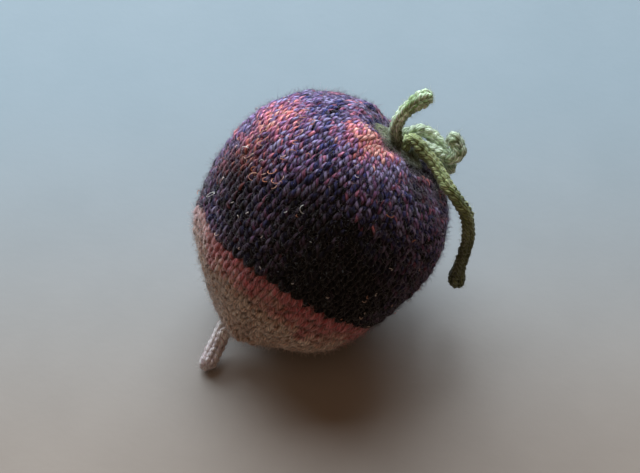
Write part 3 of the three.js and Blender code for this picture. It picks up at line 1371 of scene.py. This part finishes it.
@dataclass
class Covers:
    """The two knitted covers of the stuffed ball, with the dark skins of painted shade behind them,
    fuzz and filament.
    """

    ball: Ball
    pale_stitch: float = 3.458 * MM
    dark_stitch: float = 3.549 * MM
    sections: int = 8
    most_in_section: int = 6
    lower_rounds: int = 9
    shade_skin_depth: float = 1.5 * MM
    shade_skin_steps: int = 96
    fill: float = 0.85
    gauge: Gauge = Gauge(Section(2.05 * MM))
    fuzz: Fuzz = field(default_factory=lambda: Fuzz(np.random.default_rng(7)))
    fibres_a_piece: int = 14000
    bare_rounds: int = 3
    knitting_seed: int = 40
    filament_seed: int = 21

    def counts(self) -> dict[int, int]:
        """Count the stitches in each round.

        As many go in a section as fit, but from one round to the next a section gains or loses
        one stitch at the most.

        Returns:
            The number of stitches, by round.
        """
        wanted = {}
        for row in range(-PALE_ROUNDS, DARK_ROUNDS):
            width = self.dark_stitch if row > 0 else self.pale_stitch
            fitting = round(self.ball.girth(row + 0.5) / width / self.sections)
            wanted[row] = min(max(fitting, 1), self.most_in_section)
        for row in range(1 - PALE_ROUNDS, DARK_ROUNDS):
            wanted[row] = min(max(wanted[row], wanted[row - 1] - 1), wanted[row - 1] + 1)
        return {row: self.sections * stitches for row, stitches in wanted.items()}

    def rounds(self, part: Part) -> list[Strand]:
        """Knit one cover.

        Args:
            part: Which cover.

        Returns:
            Its rounds.
        """
        _, first, last, *_ = part.value
        rng = np.random.default_rng(self.knitting_seed + last)
        knitting = Knitting(self.ball, self.gauge, rng, sections=self.sections)
        counts = self.counts()
        return [
            knitting.round(row, counts[row], counts.get(row - 1, counts[row]),
                           float(row + PALE_ROUNDS))
            for row in range(first, last)
        ]

    def shade_skin(self, part: Part) -> bpy.types.Object:
        """Make the closed dark skin just behind the loops, painted shade that stands for the shade
        in the depth of the knitting.

        Args:
            part: Which cover.

        Returns:
            The skin.
        """
        name, first, last, *_ = part.value
        work = bmesh.new()
        bmesh.ops.create_grid(work, x_segments=self.shade_skin_steps, y_segments=(last - first) * 2,
                              size=0.5)
        work.verts.ensure_lookup_table()
        flat = np.array([vertex.co[:2] for vertex in work.verts]) + 0.5
        depth = np.full(len(flat), -self.shade_skin_depth)
        rows = first + flat[:, 1] * (last - first)
        places, _ = self.ball.place(flat[:, 0], rows, depth)
        for vertex, place in zip(work.verts, places):
            vertex.co = place
        bmesh.ops.remove_doubles(work, verts=work.verts, dist=0.01 * MM)
        rims = [edge for edge in work.edges if edge.is_boundary]
        bmesh.ops.holes_fill(work, edges=rims, sides=0)
        bmesh.ops.triangulate(work, faces=[face for face in work.faces if len(face.verts) > 4])
        bmesh.ops.recalc_face_normals(work, faces=work.faces)
        mesh = bpy.data.meshes.new(name + "_shade_skin")
        work.to_mesh(mesh)
        work.free()
        mesh.shade_smooth()
        piece = bpy.data.objects.new(name + "_shade_skin", mesh)
        bpy.context.scene.collection.objects.link(piece)
        return piece

    def knit(self, part: Part, rounds: list[Strand]) -> None:
        """Make and dress a cover's knitting; the dark cover's is in two pieces.

        Args:
            part: Which cover.
            rounds: Its rounds.
        """
        name, _, _, yarn, *_ = part.value
        material = yarn.material()
        shares = {"": rounds}
        if part is Part.DARK:
            shares = {"_lower": rounds[:self.lower_rounds], "_upper": rounds[self.lower_rounds:]}
        for suffix, share in shares.items():
            piece = spun(name + "_knitting" + suffix, share, self.gauge.section)
            press_flat(piece)
            dress(piece, material, name + "_cover")

    def grow_fuzz(self, part: Part, rounds: list[Strand]) -> None:
        """Grow a cover's loose fibres, in pieces of a handy size.

        Args:
            part: Which cover.
            rounds: Its rounds.
        """
        name, _, _, yarn, _, fibres = part.value
        material = loose(yarn, yarn.name + " fuzz", 1.5).material()
        standing = self.fuzz.fibres(rounds, fibres, self.gauge.section.thickness)
        for index, first in enumerate(range(0, fibres, self.fibres_a_piece)):
            batch = standing[first:first + self.fibres_a_piece]
            piece = spun(f"{name}_fuzz_{index + 1}", batch, Section(self.fuzz.thickness, sides=3))
            press_flat(piece)
            dress(piece, material, name + "_cover")

    def build(self) -> None:
        """Knit both covers, and lay the shiny filament over the dark one."""
        for part in Part:
            name, _, _, yarn, shade_finish, _ = part.value
            rounds = self.rounds(part)
            self.knit(part, rounds)
            # The skin behind the loops is painted shade.
            shade_skin = self.shade_skin(part)
            dress(shade_skin, shade_finish.material(), name + "_cover")
            press_flat(shade_skin)
            self.grow_fuzz(part, rounds)
        filament = Filament(self.ball, np.random.default_rng(self.filament_seed))
        curls = filament.strands(DARK_ROUNDS - self.bare_rounds)
        piece = spun("shiny_filament", curls, Section(filament.thickness, sides=5))
        finish = FilamentFinish("shiny filament")
        dress(piece, finish.material(), "dark_cover")


@dataclass
class KnittedCord:
    """A narrow knitted cord, such as a stem or the root, with a dark core of painted shade inside
    it and its fuzz.
    """

    name: str
    route: list[tuple[float, float, float]]
    yarn: YarnFinish
    seed: int
    diameter: float = STEM_DIAMETER
    swell: float = 1.3
    stitches: int = 3
    fibres: int = 900
    longest_fibre: float = 1.2 * MM
    gauge: Gauge = Gauge(Section(1.6 * MM), lean=0.2, relief=0.6 * MM, wobble=0.1 * MM)
    sink: float = -0.15 * MM
    # The dark core inside the cord stands for the shade within it: painted shade.
    shade_core_depth: float = 1.1 * MM
    shade_core_sides: int = 10
    shade_core_stride: int = 6

    def core(self, tube: Tube) -> Strand:
        """Make the line of the dark core, painted shade that stands for the shade inside the cord;
        it is round at its free end.

        Args:
            tube: The cord's skin.

        Returns:
            The core's line, with its thickness at each point.
        """
        line = tube.line[::self.shade_core_stride]
        along = np.linspace(0, tube.length, len(line))
        into_tip = np.clip((along - tube.length + tube.tip) / tube.tip, 0, 0.999)
        hidden = 1 - self.shade_core_depth / tube.radius(along)
        girth = tube.radius(along) / (self.diameter / 2) * hidden * np.sqrt(1 - into_tip ** 2)
        back = tube.ahead[::self.shade_core_stride] * self.shade_core_depth
        return Strand(line - back, np.zeros_like(line), np.zeros(len(line)), 0.0,
                      closed=False, girth=girth)

    def build(self, yarn: bpy.types.Material, shade_finish: bpy.types.Material,
              fuzz: bpy.types.Material) -> list[bpy.types.Object]:
        """Knit the cord round its core of painted shade.

        Args:
            yarn: The knitting's material.
            shade_finish: The core's material, painted shade.
            fuzz: The loose fibres' material.

        Returns:
            The knitting, its core and its fuzz.
        """
        rng = np.random.default_rng(self.seed)
        tube = Tube(self.route, self.diameter, swell=self.swell)
        knitting = Knitting(tube, self.gauge, rng, sections=self.stitches, sink=self.sink)
        rounds = [
            knitting.round(row, self.stitches, self.stitches, row + 100.0 * self.seed)
            for row in range(tube.rounds)
        ]
        loose_fibres = Fuzz(rng, longest=self.longest_fibre)
        section = self.gauge.section
        fibres = loose_fibres.fibres(rounds, self.fibres, section.thickness)
        pieces = []
        for part, strands, across, material in (
            ("_knitting", rounds, section, yarn),
            # The core is painted shade.
            ("_shade_core", [self.core(tube)], Section(self.diameter, self.shade_core_sides), shade_finish),
            ("_fuzz", fibres, Section(loose_fibres.thickness, sides=3), fuzz),
        ):
            piece = spun(self.name + part, strands, across)
            dress(piece, material, self.name)
            press_flat(piece)
            pieces.append(piece)
        return pieces


@dataclass
class Cords:
    """The root and the four stems."""

    root: KnittedCord = field(default_factory=lambda: KnittedCord(
        "root_cord", ROOT_ROUTE, PALE_ROOT, 1, diameter=ROOT_DIAMETER, swell=1.02, stitches=4))
    upright: KnittedCord = field(default_factory=lambda: KnittedCord(
        "upright_stem", UPRIGHT_ROUTE, BRIGHTLY_LIT_GREEN, 2, swell=1.65))
    arched: KnittedCord = field(default_factory=lambda: KnittedCord(
        "arched_stem", ARCHED_ROUTE, LIT_GREEN, 3))
    hooked: KnittedCord = field(default_factory=lambda: KnittedCord(
        "hooked_stem", HOOKED_ROUTE, LIT_GREEN, 4))
    trailing: KnittedCord = field(default_factory=lambda: KnittedCord(
        "trailing_stem", TRAILING_ROUTE, SHADED_GREEN, 5, swell=1.75, fibres=1200))
    declared_points: int = 60

    def build(self) -> None:
        self.root.build(PALE_ROOT.material(), ROOT_SHADE_CORE.material(),
                        loose(PALE_ROOT, "root fuzz", 1.1, sheen=0.6).material())
        green_shade_core_finish = GREEN_SHADE_CORE.material()
        green_fuzz = loose(GREEN, "green fuzz", 1.6).material()
        self.upright.build(BRIGHTLY_LIT_GREEN.material(), BRIGHTLY_LIT_GREEN_SHADE_CORE.material(), green_fuzz)
        sage = LIT_GREEN.material()
        for stem in (self.arched, self.hooked):
            stem.build(sage, green_shade_core_finish, green_fuzz)
        knit, core, hairs = self.trailing.build(SHADED_GREEN.material(), green_shade_core_finish, green_fuzz)
        path = Tube(TRAILING_ROUTE, STEM_DIAMETER, samples=self.declared_points)


@dataclass
class CrownPatch:
    """The green patch that the stems stand on."""

    ball: Ball
    stitches: tuple[int, ...] = (6, 12, 18, 24)
    gauge: Gauge = Gauge(Section(1.6 * MM), relief=0.2 * MM, wobble=0.05 * MM)
    sink: float = -0.6 * MM
    first_number: float = 900.0
    seed: int = 9

    def build(self) -> None:
        """Knit the patch in rounds, from its middle to its rim."""
        rng = np.random.default_rng(self.seed)
        first = self.stitches[0]
        knitting = Knitting(Disc(self.ball), self.gauge, rng, sections=first, sink=self.sink)
        below = (first, *self.stitches)
        rounds = [
            knitting.round(row, count, below[row], self.first_number + row)
            for row, count in enumerate(self.stitches)
        ]
        piece = spun("crown_patch_knitting", rounds, self.gauge.section)
        dress(piece, SHADED_PATCH_GREEN.material(), "crown_patch")


@dataclass(frozen=True)
class Filling:
    """The loose fibre inside the covers, which keeps its plain solid."""

    node: str = "stuffing"
    finish: SpottedFibreFinish = FILLING

    def build(self) -> None:
        """Give the filling its look of loose white fibre."""
        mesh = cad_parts[self.node].data
        mesh.materials.clear()
        mesh.materials.append(self.finish.material())
        log.info("%s: %d faces", self.node, len(mesh.polygons))


# ---------------------------------------------------------------- studio


@dataclass(frozen=True)
class PaintFinish:
    """Pale satin paint with a fine orange peel; its colour runs from cool at the back to warm in
    front, painted light that stands for cool window light and warm room light.
    """

    name: str = "pale satin paint"
    # Colours that stand for cool window light at the back and warm room light in front: painted
    # light.
    painted_window_light: tuple[tuple[float, ...], ...] = (srgb(143, 161, 173), srgb(155, 171, 183))
    painted_room_light: tuple[tuple[float, ...], ...] = (srgb(160, 145, 134), srgb(173, 158, 147))
    room_light_edge: float = -0.08
    window_light_edge: float = 0.1
    patch_waves: float = 30.0
    peel_waves: float = 420.0

    def material(self) -> bpy.types.Material:
        """Make the material.

        Returns:
            The material.
        """
        graph = Graph(self.name)
        place = graph.node("TexCoord", out="Object")
        patches = graph.noise(place, self.patch_waves, 3.0, 0.6)
        painted_window_light = graph.mix(patches, *self.painted_window_light)
        painted_room_light = graph.mix(patches, *self.painted_room_light)
        # Painted light: cool at the back, warm in front.
        away = graph.between(graph.parts(place)[1], self.room_light_edge, self.window_light_edge)
        colour = graph.mix(away, painted_room_light, painted_window_light)
        peel = graph.noise(place, self.peel_waves, 2.0)
        bump = graph.bump(0.12, peel)
        shader = graph.node("BsdfPrincipled", inputs={
            "Base Color": colour, "Roughness": 0.42, "Specular IOR Level": 0.35, "Normal": bump,
        })
        return graph.finish(shader)


@dataclass(frozen=True)
class Lamp:
    """A soft, flat lamp that points at the ball."""

    name: str
    azimuth_deg: float
    elevation_deg: float
    distance: float
    width: float
    height: float
    power: float
    colour: tuple[float, float, float]

    def build(self) -> None:
        """Hang the lamp."""
        a, e = math.radians(self.azimuth_deg), math.radians(self.elevation_deg)
        away = Vector((math.sin(a) * math.cos(e), math.cos(a) * math.cos(e), math.sin(e)))
        data = bpy.data.lights.new(self.name, "AREA")
        data.shape = "RECTANGLE"
        data.size = self.width
        data.size_y = self.height
        data.energy = self.power
        data.color = self.colour
        lamp = bpy.data.objects.new(self.name, data)
        lamp.location = BALL_CENTRE + away * self.distance
        lamp.rotation_euler = away.to_track_quat("Z", "Y").to_euler()
        bpy.context.scene.collection.objects.link(lamp)


@dataclass(frozen=True)
class Studio:
    """The table top, the lamps and the camera."""

    elevation_deg: float = 52.0
    distance: float = 0.9
    half_view_deg: float = 6.09
    sideways: float = -1.38 * MM
    downwards: float = 3.87 * MM
    half_table: float = 1.6
    room_colour: tuple[float, ...] = srgb(242, 200, 160)
    room_light: float = 0.1
    lamps: tuple[Lamp, ...] = (
        Lamp("window", -15.0, 27.0, 1.2, 1.9, 0.7, 26.0, (0.81, 0.93, 1.0)),
        Lamp("sky", -8.0, 62.0, 1.2, 0.9, 0.6, 6.0, (0.84, 0.94, 1.0)),
        Lamp("room", 200.0, 55.0, 1.4, 1.4, 1.4, 1.4, (1.0, 0.73, 0.52)),
    )

    def camera(self) -> None:
        """Put the camera up, looking down over the ball."""
        e = math.radians(self.elevation_deg)
        back = Vector((0, -math.cos(e), math.sin(e)))
        up = Vector((0, math.sin(e), math.cos(e)))
        target = BALL_CENTRE + Vector((self.sideways, 0, 0)) - up * self.downwards
        data = bpy.data.cameras.new("camera")
        data.lens = data.sensor_width / 2 / math.tan(math.radians(self.half_view_deg))
        data.clip_start = 0.01
        data.clip_end = 10.0
        camera = bpy.data.objects.new("camera", data)
        camera.location = target + back * self.distance
        camera.rotation_euler = back.to_track_quat("Z", "Y").to_euler()
        bpy.context.scene.collection.objects.link(camera)
        bpy.context.scene.camera = camera

    def floor(self) -> None:
        """Lay the painted table top."""
        work = bmesh.new()
        bmesh.ops.create_grid(work, x_segments=1, y_segments=1, size=self.half_table)
        mesh = bpy.data.meshes.new("table_top")
        work.to_mesh(mesh)
        work.free()
        table = bpy.data.objects.new("table_top", mesh)
        mesh.materials.append(PaintFinish().material())
        bpy.context.scene.collection.objects.link(table)

    def light(self) -> None:
        """Hang the lamps and fill the room with a little even light."""
        for lamp in self.lamps:
            lamp.build()
        world = bpy.data.worlds.new("room")
        world.use_nodes = True
        background = world.node_tree.nodes["Background"]
        background.inputs["Color"].default_value = self.room_colour
        background.inputs["Strength"].default_value = self.room_light
        bpy.context.scene.world = world
        bpy.context.scene.view_settings.view_transform = "Standard"

    def build(self) -> None:
        """Set the studio up."""
        self.camera()
        self.floor()
        self.light()


def main() -> None:
    """Build the studio, then the cords, then the rest of the toy."""
    logging.basicConfig(level=logging.INFO, format="%(message)s")
    Studio().build()
    Cords().build()
    ball = Ball()
    Covers(ball).build()
    CrownPatch(ball).build()
    Filling().build()


if __name__ == "__main__":
    main()
